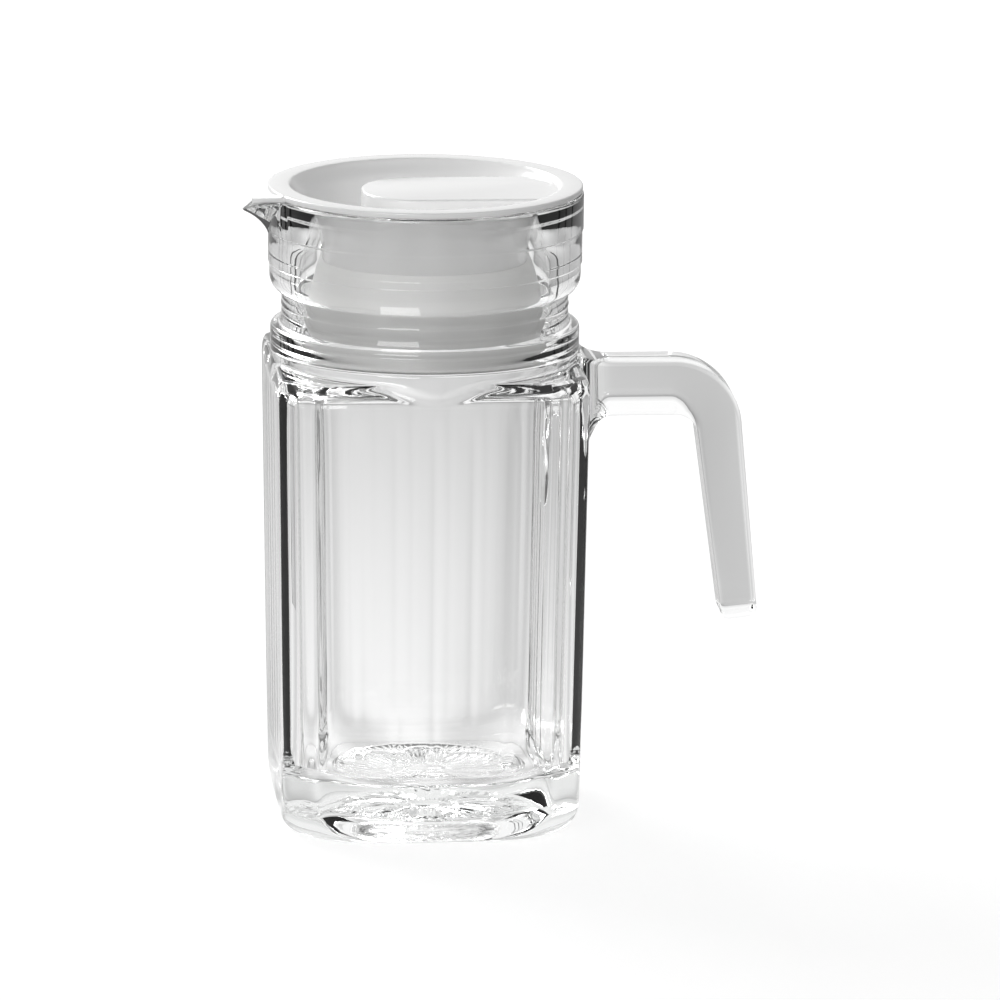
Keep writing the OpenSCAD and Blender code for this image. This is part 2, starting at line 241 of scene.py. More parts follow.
jug = {
    "half": 41.55, "heelHalf": 39.85, "cornerLeg": 8.75, "wall": 4.0, "edgeSharpness": 100,
    "smoothBelow": 28,  # degrees
    # outside, from the underside up
    "kickRadius": 30.3, "kickDepth": 5.4, "kickRound": 2.2, "undersideSteps": 28,
    "kickWall": (  # curves of (out from the hollow's edge, share of its depth) and their number of points
        ((-1.8, 1.0), (0.0, 1.0), (0.4, 0.4), 5),
        ((0.5, 0.25), (0.7, 0.0), (1.9, 0.0), 4)),
    "heelLevels": (  # (z, half across the panels, corner diagonal, sharpness of the corner edges)
        (0.0, 35.3, 41.9, 12), (0.08, 36.2, 43.1, 12), (0.4, 37.0, 44.2, 13), (0.9, 37.7, 45.2, 14),
        (1.7, 38.4, 46.2, 16), (2.8, 39.05, 47.3, 19), (4.2, 39.5, 48.4, 24), (6.0, 39.75, 49.4, 32),
        (8.0, 39.87, 50.1, 44)),
    "panelRows": 8, "panelTop": 125.4, "sharpFrom": 45.0,
    "ledgeRound": 4.8, "ledgeInset": 2.4, "ledgeFillet": 1.1, "ledgeSteps": 12,
    "ledgeCurveSteps": 25, "ledgeFlatSteps": 40, "ledgeRunIn": 8, "filletSteps": 6, "filletShare": 0.4,
    "shoulder": 41.3, "shoulderFoot": 128.0, "shoulderTop": 134.6, "shoulderRound": 1.1,
    "stepSlope": 0.3, "stepOut": 0.5, "stepRound": 0.6, "waist": 38.3, "waistFoot": 137.6, "waistRound": 0.8,
    "waistLine": 139.9, "waistLineHalf": 0.6, "waistLineHeight": 0.16,
    "collarFoot": 143.6, "collarFootRound": 0.7, "collarStart": (0.28, 0.15),  # (share of the bulge, up)
    "collarRound": 4.5, "collarTurns": (28, 40, 52, 64, 77, 90), "collarSide": 149.5,
    "lineStep": 0.35, "lineSlope": 0.3, "lineRound": 0.2,
    "lowerLine": 151.4, "betweenLines": 156.0, "upperLine": 160.4,
    "rimRadius": 42.3, "rimSide": 165.0, "rim": 170.2, "rimRound": 0.9, "mouth": 37.4, "mouthRound": 0.8,
    # inside, from the mouth down
    "mouthCone": 13.0, "bore": 34.0, "boreMiddle": 144.0, "boreFoot": 131.5, "boreRound": 2.5,
    "innerShoulderTop": 128.0, "innerShoulderFoot": 125.0,
    "innerSharpness": 18, "innerLedgeDrop": 4.0, "innerLedgeRise": 0.4, "innerLedgeFillet": 1.6,
    "innerRows": (115.0, 112.0, 106.0, 96.0, 84.0, 70.0, 56.0, 42.0, 32.0, 25.0), "bowlTop": 20.5,
    "bowlLevels": (  # (z, half across the panels, corner diagonal, sharpness) down to the middle of the floor
        (19.3, 35.85, 45.0, 17), (18.0, 35.5, 43.6, 16), (16.9, 34.9, 41.4, 15), (15.9, 33.8, 38.8, 14),
        (15.1, 32.2, 35.8, 11), (14.5, 30.1, 32.4, 9), (14.0, 27.5, 28.6, 8), (13.65, 24.2, 24.6, 8),
        (13.4, 20.2, 20.3, 8), (13.2, 16.0, 16.0, 8), (13.1, 11.0, 11.0, 8), (13.03, 6.0, 6.0, 8)),
    "floorMiddle": ((2.2, 13.01), (0.0, 13.0)),
    "flutes": 6, "fluteDepth": 0.055, "ridgeHeight": 0.1, "ridgeWidth": 0.9, "ridgeFade": 3.0,
    "fluteFoot": (14.5, 18.5), "fluteTop": (108.0, 117.0),
}

# Degrees from the middle of a side to its corner: wide steps, fine ones at the corner edge, and the last
columnSteps = {"wide": 1.2, "wideCount": 31, "fineFrom": 36.8, "fine": 0.37, "fineCount": 13,
               "last": (42.3, 43.6), "corner": 45}

# Petals, veins, rings and rays pressed into the underside
relief = {
    "petals": 8, "petalTurn": 0.4, "petalFrom": 19, "petalReach": 5.5,
    "outlineHeight": 0.7, "outlineWidth": 0.9,
    "veins": 40, "veinHeight": 0.35, "veinFrom": (6, 11), "veinEnd": (3, 1),
    "rings": ((5.0, 1.0, 0.5), (8.5, 0.8, 0.3)),  # (radius, width, height)
    "rays": 64, "rayHeight": 0.3, "rayFrom": (1.2, 2.2), "fadePower": 8,
}


def squaredRadius(angle, half, diagonal, sharpness):  # distance out to a square with cut, softened corners
    reaches = []
    for k in range(8):
        facing = math.cos(angle - k * math.pi / 4)
        if facing > 0.05:  # the sides that look away don't count
            reaches.append((half if k % 2 == 0 else diagonal) / facing)
    nearest = min(reaches)
    return nearest * sum((nearest / reach) ** sharpness for reach in reaches) ** (-1 / sharpness)


def cutDiagonal(half, leg):
    return (2 * half - leg) / math.sqrt(2)


def innerLeg():  # the corner's leg on the inside of the wall
    return jug["cornerLeg"] - jug["wall"] * (2 - math.sqrt(2))


def columnAngles():
    steps = columnSteps
    half = [math.radians(steps["wide"] * j) for j in range(steps["wideCount"])]
    half += [math.radians(steps["fineFrom"] + steps["fine"] * j) for j in range(steps["fineCount"])]
    half += [math.radians(degrees) for degrees in steps["last"]]
    side = [-a for a in reversed(half[1:])] + half + [math.radians(steps["corner"])]
    return [turn * math.pi / 2 + a for turn in range(4) for a in side]


def baseRelief(r, angle):
    petal = relief["petalFrom"]
    petal += relief["petalReach"] * abs(math.cos(relief["petals"] / 2 * angle + relief["petalTurn"]))
    outline = relief["outlineHeight"] * bell(r, petal, relief["outlineWidth"])
    stop, fade = relief["veinEnd"]
    veins = relief["veinHeight"] * math.cos(relief["veins"] * angle)
    veins *= smoothStep(*relief["veinFrom"], r) * (1 - smoothStep(petal - stop, petal - fade, r))
    middle = sum(height * bell(r, radius, width) for radius, width, height in relief["rings"])
    start, full = relief["rayFrom"]
    rays = relief["rayHeight"] * math.cos(relief["rays"] * angle) * smoothStep(petal + start, petal + full, r)
    return outline + veins + middle + rays


def fluteInset(angle, half):  # six shallow hollows on each side, with a narrow ridge between two of them
    turn = round(angle / (math.pi / 2)) * math.pi / 2
    along = half * math.tan(angle - turn)
    width = half - innerLeg()
    if abs(along) > width:
        return 0.0
    pitch = 2 * width / jug["flutes"]
    u = (along / pitch) % 1.0 - 0.5
    hollow = jug["fluteDepth"] * (1 - 4 * u * u)
    ridge = jug["ridgeHeight"] * bell((0.5 - abs(u)) * pitch, 0, jug["ridgeWidth"])
    return (hollow - ridge * smoothStep(0.0, jug["ridgeFade"], width - abs(along))) / math.cos(angle - turn)


def underside(angle):  # recessed disc with the relief, then the inner side of the standing ring
    edge, depth, steps = jug["kickRadius"], jug["kickDepth"], jug["undersideSteps"]
    flat = edge - jug["kickRound"]
    points = []
    for i in range(steps + 1):
        r = flat * i / steps
        points.append((r, depth + baseRelief(r, angle) * (1 - (r / flat) ** relief["fadePower"])))
    for *curve, count in jug["kickWall"]:
        points += cornerCurve(*[(edge + out, share * depth) for out, share in curve], count)
    return points


def heelAndPanel(angle):
    levels = jug["heelLevels"]
    points = [(squaredRadius(angle, half, diagonal, sharpness), z) for z, half, diagonal, sharpness in levels]
    low, _, _, heelSharpness = levels[-1]
    high = jug["panelTop"] - jug["ledgeRound"]
    for i in range(1, jug["panelRows"]):
        t = i / jug["panelRows"]
        z = mix(low, high, t)
        half = mix(jug["heelHalf"], jug["half"], t)
        sharpness = mix(heelSharpness, jug["edgeSharpness"], smoothStep(low, jug["sharpFrom"], z))
        points.append((squaredRadius(angle, half, cutDiagonal(half, jug["cornerLeg"]), sharpness), z))
    return points


def alongPath(path, lengths, distance):
    for k in range(1, len(path)):
        if lengths[k] >= distance - 1e-9:
            t = (distance - lengths[k - 1]) / max(lengths[k] - lengths[k - 1], 1e-9)
            return (mix(path[k - 1][0], path[k][0], t), mix(path[k - 1][1], path[k][1], t))
    return path[-1]


def ledgePath(edge, top, drop, shoulder, fillet):  # over the panel's top edge, in, and up the shoulder
    inner = edge - jug["ledgeInset"]
    path = cornerCurve((edge, top - drop), (edge, top), (inner, top), jug["ledgeCurveSteps"])
    end, flatSteps = shoulder - jug["ledgeRunIn"], jug["ledgeFlatSteps"]  # runs on past the shoulder
    path += [(mix(inner, end, i / flatSteps), top) for i in range(1, flatSteps + 1)]
    foot = [path[0]]
    for a, b in zip(path, path[1:]):
        if b[0] <= shoulder:
            share = (a[0] - shoulder) / (a[0] - b[0])
            foot.append((shoulder, mix(a[1], b[1], share)))
            break
        foot.append(b)
    lengths = [0.0]
    for a, b in zip(foot, foot[1:]):
        lengths.append(lengths[-1] + math.hypot(b[0] - a[0], b[1] - a[1]))
    steps = jug["ledgeSteps"]
    reach = lengths[-1] - min(fillet, jug["filletShare"] * lengths[-1])
    points = [alongPath(foot, lengths, reach * i / steps) for i in range(steps)]
    r, z = foot[-1]
    return points + cornerCurve(alongPath(foot, lengths, reach), (r, z), (r, z + fillet), jug["filletSteps"])


def ledge(angle):
    diagonal = cutDiagonal(jug["half"], jug["cornerLeg"])
    edge = squaredRadius(angle, jug["half"], diagonal, jug["edgeSharpness"])
    return ledgePath(edge, jug["panelTop"], jug["ledgeRound"], jug["shoulder"], jug["ledgeFillet"])


def waistOutline(foot):  # shoulder, waist with its fine line, and the collar's round underside
    shoulder, top, waist, collar = jug["shoulder"], jug["shoulderTop"], jug["waist"], jug["collarFoot"]
    line, lineHalf, slope = jug["waistLine"], jug["waistLineHalf"], jug["stepSlope"]
    bulge = foot - waist
    share, up = jug["collarStart"]
    points = softLine([
        (shoulder, jug["shoulderFoot"], 0), (shoulder, top - slope, jug["shoulderRound"]),
        (waist + jug["stepOut"], top + slope, jug["stepRound"]), (waist, jug["waistFoot"], jug["waistRound"]),
        (waist, line - lineHalf, 0), (waist + jug["waistLineHeight"], line, 0), (waist, line + lineHalf, 0),
        (waist, collar, jug["collarFootRound"]), (waist + share * bulge, collar + up, 0),
    ])
    for degrees in jug["collarTurns"]:
        a = math.radians(degrees)
        points.append((waist + bulge * math.sin(a), collar + jug["collarRound"] * (1 - math.cos(a))))
    return points


def neckAndRim():
    rim, rimRadius, bore = jug["rim"], jug["rimRadius"], jug["bore"]
    middle = rimRadius - jug["lineStep"]
    foot = middle - jug["lineStep"]
    lower, upper, slope = jug["lowerLine"], jug["upperLine"], jug["lineSlope"]
    lineRound, boreRound = jug["lineRound"], jug["boreRound"]
    inner = jug["shoulder"] - jug["wall"]
    return waistOutline(foot) + softLine([
        (foot, jug["collarSide"], 0), (foot, lower - slope, lineRound), (middle, lower, lineRound),
        (middle, jug["betweenLines"], 0), (middle, upper - slope, lineRound), (rimRadius, upper, lineRound),
        (rimRadius, jug["rimSide"], 0), (rimRadius, rim, jug["rimRound"]),
        (jug["mouth"], rim, jug["mouthRound"]),
        (bore, rim - jug["mouthCone"], boreRound), (bore, jug["boreMiddle"], 0),
        (bore, jug["boreFoot"], boreRound), (inner, jug["innerShoulderTop"], boreRound),
        (inner, jug["innerShoulderFoot"], 0),
    ])


def insideWall(angle):
    leg, sharpness = innerLeg(), jug["innerSharpness"]
    top, low = jug["half"] - jug["wall"], jug["heelHalf"] - jug["wall"]
    edge = squaredRadius(angle, top, cutDiagonal(top, leg), sharpness)
    under = jug["panelTop"] - jug["wall"] + jug["innerLedgeRise"]
    drop, bowlTop = jug["innerLedgeDrop"], jug["bowlTop"]
    shoulder = jug["shoulder"] - jug["wall"]
    points = list(reversed(ledgePath(edge, under, drop, shoulder, jug["innerLedgeFillet"])))
    for z in jug["innerRows"] + (bowlTop,):
        half = mix(low, top, (z - bowlTop) / (under - drop - bowlTop))
        squared = squaredRadius(angle, half, cutDiagonal(half, leg), sharpness)
        points.append((squared + fluteInset(angle, half) * (1 - smoothStep(*jug["fluteTop"], z)), z))
    for z, half, diagonal, bowlSharpness in jug["bowlLevels"]:
        squared = squaredRadius(angle, half, diagonal, bowlSharpness)
        points.append((squared + fluteInset(angle, half) * smoothStep(*jug["fluteFoot"], z), z))
    return points + list(jug["floorMiddle"])


def makeGlassBody():
    angles = columnAngles()
    neck = neckAndRim()
    lines = [underside(a) + heelAndPanel(a) + ledge(a) + neck + insideWall(a) for a in angles]
    count = len(angles)
    rows = len(lines[0]) - 1

    def place(column, row):
        angle = angles[column % count]
        r, z = lines[column % count][row]
        return (r * math.cos(angle), r * math.sin(angle), z)

    body = placedGrid("glassBody", count, rows, place)
    print(f"glass body: {count} columns, {rows} rows")
    return body


# The beak: a three-sided lip with a channel, and the rim dipping to its tip

beak = {
    "reach": 6.9, "width": 34.2, "drop": 4.8, "height": 10.8, "wall": 1.7, "sink": 0.35,
    "channelAbove": 1, "dipSpare": 2,
    "keelRadius": 9.75, "keelX": 51.16, "keelZ": 155.8, "keelLength": 60, "keelColumns": 96,
}


def beakSizes():
    half = beak["width"] / 2
    rootX = math.sqrt(jug["rimRadius"] ** 2 - half ** 2)
    tipX = jug["rimRadius"] + beak["reach"]
    return half, rootX, tipX, beak["drop"] / (tipX - rootX)


def rimDip(rootX, tipX, slope):  # a block that slopes down from the root to the tip
    deselectAll()
    bpy.ops.mesh.primitive_cube_add(size=1)
    dip = bpy.context.active_object
    dip.scale = (tipX * mm, (beak["width"] + beak["dipSpare"]) * mm, beak["height"] * mm)
    dip.location = (-tipX * mm / 2, 0, beak["height"] * mm / 2)
    settle(dip)
    dip.rotation_euler = (0, -math.atan(slope), 0)
    dip.location = (-rootX * mm, 0, jug["rim"] * mm)
    settle(dip)
    return dip


def addBeak(body):
    half, rootX, tipX, slope = beakSizes()
    wall, tipR, rim, foot = beak["wall"], beak["wall"] / 2, jug["rim"], jug["rim"] - beak["height"]
    tipZ = rim - beak["drop"]
    rootZ = rim - tipR - beak["sink"]
    solid = hullOfBeads("beakSolid", [
        (-(rootX - tipR), half - wall, rootZ, tipR), (-(rootX - tipR), -(half - wall), rootZ, tipR),
        (-(jug["rimRadius"] - wall), 0, foot - tipR, tipR), (-(tipX - tipR), 0, tipZ + tipR, tipR),
        (-(jug["bore"] + jug["wall"]), 0, foot, tipR)])
    keelPlace = (-beak["keelX"], 0, beak["keelZ"])
    lying = (math.pi / 2, 0, 0)
    keelCut = roundBar(beak["keelColumns"], beak["keelRadius"], beak["keelLength"], keelPlace, lying)
    combine(solid, keelCut, "DIFFERENCE")
    combine(body, solid, "UNION")
    inset = 2 * wall
    channelTip, channelTop = -(tipX - inset / 2), rim + beak["channelAbove"]
    channel = hullOfBeads("beakChannel", [
        (-jug["bore"], half - inset, channelTop, tipR), (-jug["bore"], -(half - inset), channelTop, tipR),
        (-jug["bore"], 0, foot + inset, tipR),
        (channelTip, 0, tipZ + inset / 2, tipR), (channelTip, 0, channelTop, tipR)])
    combine(body, channel, "DIFFERENCE")
    combine(body, rimDip(rootX, tipX, slope), "DIFFERENCE")
    print("beak joined")


# The handle: a bar with a flat outer face and a rounded inner face, swept along the hook

grip = {
    "width": 15.0, "armThick": 15.8, "gripThick": 12.0, "tipThick": 9.8, "armTop": 124.2, "reach": 25.4,
    "bend": 12.0, "length": 53.0, "lean": 6.5, "filletLength": 8.0, "filletUnder": 25.0, "filletSide": 3.2,
    "armRound": 0.42, "gripRound": 0.12, "edge": 1.2, "tipRatio": 3, "tipTurn": 86, "tipThinning": 0.5,
    "armSteps": 24, "armCrowding": 1.5, "bendSteps": 24, "gripSteps": 12, "tipSteps": 8, "cornerSteps": 8,
}


def handleStations():  # (x, z, heading, thickness, rounding, scale of the width)
    turn = math.radians(90 - grip["lean"])
    midZ = grip["armTop"] - grip["armThick"] / 2
    startX = jug["half"] - jug["wall"] / 2
    bendX = jug["half"] + grip["reach"]
    stations = []
    for i in range(grip["armSteps"] + 1):
        x = mix(startX, bendX, (i / grip["armSteps"]) ** grip["armCrowding"])
        stations.append((x, midZ, 0.0, grip["armThick"], grip["armRound"], 1.0))
    for i in range(1, grip["bendSteps"] + 1):
        t = i / grip["bendSteps"]
        a = turn * t
        x, z = bendX + grip["bend"] * math.sin(a), midZ - grip["bend"] * (1 - math.cos(a))
        thick = mix(grip["armThick"], grip["gripThick"], t)
        stations.append((x, z, a, thick, mix(grip["armRound"], grip["gripRound"], t), 1.0))
    endX, endZ = stations[-1][0], stations[-1][1]
    endLength = grip["tipThick"] / grip["tipRatio"]
    straight = grip["length"] - endLength

    def addBelowBend(reach, thick, size):
        x, z = endX + reach * math.cos(turn), endZ - reach * math.sin(turn)
        stations.append((x, z, turn, thick, grip["gripRound"], size))

    for i in range(1, grip["gripSteps"] + 1):
        t = i / grip["gripSteps"]
        addBelowBend(straight * t, mix(grip["gripThick"], grip["tipThick"], t), 1.0)
    for i in range(1, grip["tipSteps"] + 1):
        a = math.radians(grip["tipTurn"] * i / grip["tipSteps"])
        size = mix(1.0, math.cos(a), grip["tipThinning"])
        addBelowBend(straight + endLength * math.sin(a), grip["tipThick"] * size, size)
    return stations


def handleRing(station):
    x, z, heading, thick, roundShare, size = station
    d = min(1.0, max(0.0, (jug["half"] + grip["filletLength"] - x) / grip["filletLength"]))
    flare = 1 - math.sqrt(1 - d * d)
    halfWidth = grip["width"] / 2 * size + grip["filletSide"] * flare
    out = thick / 2 + grip["filletSide"] * flare
    under = thick / 2 + grip["filletUnder"] * flare
    high = thick * roundShare + grip["filletSide"] * flare
    edge = grip["edge"]
    wide = min(halfWidth, max(edge, high))
    corners = [  # (across, up, reach across, reach up, first angle)
        (halfWidth - edge, out - edge, edge, edge, 0),
        (-(halfWidth - edge), out - edge, edge, edge, 90),
        (-(halfWidth - wide), -under + high, wide, high, 180),
        (halfWidth - wide, -under + high, wide, high, 270)]
    ring = []
    for cx, cy, rx, ry, begin in corners:
        for i in range(grip["cornerSteps"] + 1):
            a = math.radians(begin + 90 * i / grip["cornerSteps"])
            ring.append((cx + rx * math.cos(a), cy + ry * math.sin(a)))
    return [(x + v * math.sin(heading), u, z + v * math.cos(heading)) for u, v in ring]


def makeHandle():
    rings = [handleRing(station) for station in handleStations()]
    first, last = rings[0], rings[-1]
    middles = [tuple(sum(p[k] for p in ring) / len(ring) for k in range(3)) for ring in (first, last)]
    rings = [[middles[0]] * len(first)] + rings + [[middles[1]] * len(last)]  # closes both ends
    columns = len(first)
    return placedGrid("handleBar", columns, len(rings) - 1, lambda column, row: rings[row][column % columns])


def makeGlass():
    body = makeGlassBody()
    addBeak(body)
    combine(body, makeHandle(), "UNION")
    finishPiece(body, "glassPitcher", jug["smoothBelow"])
    return body


# The lid: cover with its dish, hollow finger grip and flap, and the plug under it

lid = {
    "columns": 224, "smoothBelow": 35, "wall": 1.6, "edgeRound": 0.5, "outlineSteps": 4,
    "flange": 42.0, "under": 170.4, "top": 172.0, "dish": 36.35, "dishOut": 36.9, "dishDrop": 2.2,
    "dishFloor": 28.5, "floor": 159.0, "floorFlat": 14.0, "undersideFlat": 12.0,
    "dishShares": ((1, 0), (0.62, 0.2), (0.25, 0.6), (0.08, 0.85)),  # of the way from the edge (out, down)
    "sideRound": 1.2, "throat": 28.3, "throatHeight": 153.0, "spigot": 4,
    "underRound": 0.4, "dropRound": 0.8, "throatRound": 0.1, "spigotRound": 0.3,
    "gripHalf": 16.4, "gripEnd": 17.0, "gripCorner": 14.5, "gripTop": 170.6, "gripRound": 0.7,
    "gripFar": 40.0, "gripCornerSteps": 20, "gripRoundSteps": 4,
    "coreGap": 0.8, "coreColumns": 96, "hollowColumns": 128, "boundHeight": 30,
    "flapReach": 4.3, "flapEdge": 0.45, "flapSink": 0.02, "flapSteps": 16,
}


def dishSide(gap=0.0):
    inner = lid["dishOut"] - lid["wall"]
    return [(mix(lid["dishFloor"], inner, out) + gap, mix(lid["under"], lid["floor"], down), lid["sideRound"])
            for out, down in lid["dishShares"]]


def makeDish():
    wall, floor, under, top, soft = lid["wall"], lid["floor"], lid["under"], lid["top"], lid["edgeRound"]
    foot, spigotFoot = lid["throatHeight"], lid["throatHeight"] - lid["spigot"]
    throatIn = lid["throat"] - wall
    stops = [(0.0, floor, 0), (lid["floorFlat"], floor, 0), (lid["dishFloor"], floor, wall)]
    stops += list(reversed(dishSide()))
    stops += [
        (lid["dish"], top, soft), (lid["flange"], top, soft), (lid["flange"], under, soft),
        (lid["dishOut"], under, lid["underRound"]),
        (lid["dishOut"], under - lid["dishDrop"], lid["dropRound"]),
        (lid["throat"], foot, lid["throatRound"]), (throatIn, foot, 0),
        (throatIn, spigotFoot, lid["spigotRound"]), (throatIn - wall, spigotFoot, lid["spigotRound"]),
        (throatIn - wall, floor - wall, lid["underRound"]),
        (lid["undersideFlat"], floor - wall, 0), (0.0, floor - wall, 0)]
    return spunPiece("lidDish", softLine(stops, lid["outlineSteps"]), lid["columns"])


# A plane with two round corners, drawn up, with a soft top edge where edge is above 0
def gripBlock(name, inset, bottom, top, edge):
    half, end = lid["gripHalf"] - inset, lid["gripEnd"] - inset
    far = lid["gripFar"]
    deselectAll()
    bpy.ops.mesh.primitive_plane_add(size=1, location=((far - end) / 2 * mm, 0, bottom * mm))
    piece = bpy.context.active_object
    piece.name = name
    piece.scale = ((far + end) * mm, 2 * half * mm, 1)
    settle(piece)
    bpy.ops.object.mode_set(mode="EDIT")
    bpy.ops.mesh.select_all(action="DESELECT")
    bpy.ops.object.mode_set(mode="OBJECT")
    for vertex in piece.data.vertices:
        vertex.select = vertex.co.x < 0
    bpy.ops.object.mode_set(mode="EDIT")
    bpy.ops.mesh.bevel(offset=(lid["gripCorner"] - inset) * mm, segments=lid["gripCornerSteps"], profile=0.5,
                       affect="VERTICES")
    bpy.ops.mesh.select_all(action="SELECT")
    bpy.ops.mesh.extrude_region_move(TRANSFORM_OT_translate={"value": (0, 0, (top - bottom) * mm)})
    if edge > 0:
        bpy.ops.mesh.bevel(offset=edge * mm, segments=lid["gripRoundSteps"], profile=0.5)
    bpy.ops.mesh.select_all(action="SELECT")
    bpy.ops.mesh.normals_make_consistent(inside=False)
    bpy.ops.object.mode_set(mode="OBJECT")
    return piece


def makeFlap():
    half, rootX, _, slope = beakSizes()
    turn = math.atan(slope)
    bound = lid["flange"] + lid["flapReach"]
    length = (bound - rootX) / math.cos(turn)
    thick, radius, steps = lid["top"] - lid["under"], lid["flapEdge"], lid["flapSteps"]
    side = half - beak["wall"]
    beads = []
    for along, across, size in ((0, side, thick / 2), (0, -side, thick / 2), (-(length - thick), 0, thick)):
        for k in range(steps):
            a = 2 * math.pi * k / steps
            for level in (radius, thick - radius):
                x = along + (size - radius) * math.cos(a)
                beads.append((-rootX + x * math.cos(turn) - level * math.sin(turn),
                              across + (size - radius) * math.sin(a),
                              lid["under"] + x * math.sin(turn) + level * math.cos(turn), radius))
    flap = hullOfBeads("flap", beads)
    height = lid["boundHeight"]
    boundZ = lid["top"] - lid["flapSink"] - height / 2
    combine(flap, roundBar(lid["columns"], bound, height, (0, 0, boundZ)), "INTERSECT")
    return flap


def makeGrip():  # the grip runs into the dish's side, and a core of the dish's shape trims it there
    floor, wall, gap = lid["floor"], lid["wall"], lid["coreGap"]
    gripPiece = gripBlock("grip", 0.0, floor - wall / 2, lid["gripTop"], lid["gripRound"])
    outline = [(0.0, floor - wall / 2), (lid["dishFloor"] + gap, floor - wall / 2)]
    outline += [(r, z) for r, z, _ in reversed(dishSide(gap))]
    outline += [(lid["dish"] + gap, lid["top"]), (0.0, lid["top"])]
    combine(gripPiece, spunPiece("dishCore", outline, lid["coreColumns"]), "INTERSECT")
    return gripPiece


def makeGripHollow():
    floor, wall = lid["floor"], lid["wall"]
    hollow = gripBlock("gripHollow", wall, floor - 3 * wall, lid["gripTop"] - wall, 0)
    bound = roundBar(lid["hollowColumns"], lid["throat"] - 3 * wall, lid["boundHeight"], (0, 0, floor))
    combine(hollow, bound, "INTERSECT")
    return hollow


def makeLidCover():
    cover = makeDish()
    combine(cover, makeGrip(), "UNION")
    combine(cover, makeFlap(), "UNION")
    combine(cover, makeGripHollow(), "DIFFERENCE")
    finishPiece(cover, "lidCoverMoulding", lid["smoothBelow"])
    return cover


plugSkirt = {
    "radius": 32.0, "foot": 128.6, "flare": 2.2, "steps": 24, "edge": 0.5, "edgeShares": (0.4, 0.8, 1.0),
    "innerEdge": 0.3, "seat": 4.0, "seatGap": 0.2,
}


def makeLidPlug():
    wall, throat, throatZ = lid["wall"], lid["throat"], lid["throatHeight"]
    radius, foot, soft, small = (plugSkirt[key] for key in ("radius", "foot", "edge", "innerEdge"))
    side = []
    for i in range(plugSkirt["steps"] + 1):
        t = i / plugSkirt["steps"]
        side.append((mix(throat, radius, 1 - (1 - t) ** plugSkirt["flare"]), mix(throatZ, foot, t)))
    edge = [(radius - soft * (1 - math.sqrt(1 - t * t)), foot + soft * (1 - t))
            for t in plugSkirt["edgeShares"]]
    seatZ = throatZ - plugSkirt["seat"]
    inside = [(r - wall, z) for r, z in reversed(side) if z < seatZ - plugSkirt["seatGap"]]
    outline = side[:-1] + edge + [(radius - wall + small, foot), (radius - wall, foot + small)] + inside[1:]
    outline += [(throat - wall, seatZ), (throat - wall, throatZ), side[0]]
    plug = spunPiece("plug", outline, lid["columns"])
    finishPiece(plug, "lidPlugSkirt", lid["smoothBelow"])
    return plug


# Materials

glassLook = {
    "index": 1.5, "waveScale": 90, "waveDetail": 1.5, "waveStretch": (1, 1, 0.2), "waveStrength": 0.3,
    "waveDepth": 0.0003, "tint": (0.905, 0.91, 0.907, 1), "density": 22,
}
coverLook = {"name": "glossWhitePlastic", "colour": (0.88, 0.88, 0.878), "roughness": 0.14, "grain": 0.05}
# The plug's skirt gets painted shade: its colour is drawn darker towards the bottom, below the collar
plugLook = {"name": "satinWhitePlastic", "colour": (0.78, 0.78, 0.77), "roughness": 0.4, "grain": 0.25,
            "paintedShade": (0.138, 0.146, 0.74)}  # (greyest below this z, not above this z, brightness)
plasticLook = {"patchScale": 260, "patchDetail": 3, "patchSpread": 0.05, "cloudScale": 35, "cloudDetail": 2,
               "cloudShade": 0.985, "grainScale": 2600, "grainDetail": 2, "grainDepth": 0.00005}


def newMaterial(name):
    material = bpy.data.materials.new(name)
    material.use_nodes = True
    nodes, links = material.node_tree.nodes, material.node_tree.links
    return material, nodes, links, nodes["Principled BSDF"]


def objectNoise(nodes, links, scale, detail, stretch=None):
    where = nodes.new("ShaderNodeTexCoord").outputs["Object"]
    if stretch:
        mapping = nodes.new("ShaderNodeMapping")
        mapping.inputs["Scale"].default_value = stretch
        links.new(where, mapping.inputs["Vector"])
        where = mapping.outputs["Vector"]
    noise = nodes.new("ShaderNodeTexNoise")
    noise.inputs["Scale"].default_value = scale
    noise.inputs["Detail"].default_value = detail
    links.new(where, noise.inputs["Vector"])
    return noise.outputs["Fac"]


def addBump(nodes, links, shader, source, strength, distance):
    bump = nodes.new("ShaderNodeBump")
    bump.inputs["Strength"].default_value = strength
    bump.inputs["Distance"].default_value = distance
    links.new(source, bump.inputs["Height"])
    links.new(bump.outputs["Normal"], shader.inputs["Normal"])


def clearGlass():  # clear, with soft waves drawn out upright and a slight grey in its depth
    look = glassLook
    material, nodes, links, shader = newMaterial("clearPressedGlass")
    shader.inputs["Base Color"].default_value = (1, 1, 1, 1)
    shader.inputs["Roughness"].default_value = 0.0
    shader.inputs["IOR"].default_value = look["index"]
    shader.inputs["Transmission Weight"].default_value = 1.0
    waves = objectNoise(nodes, links, look["waveScale"], look["waveDetail"], look["waveStretch"])
    addBump(nodes, links, shader, waves, look["waveStrength"], look["waveDepth"])
    tint = nodes.new("ShaderNodeVolumeAbsorption")
    tint.inputs["Color"].default_value = look["tint"]
    tint.inputs["Density"].default_value = look["density"]
    links.new(tint.outputs["Volume"], nodes["Material Output"].inputs["Volume"])
    return material


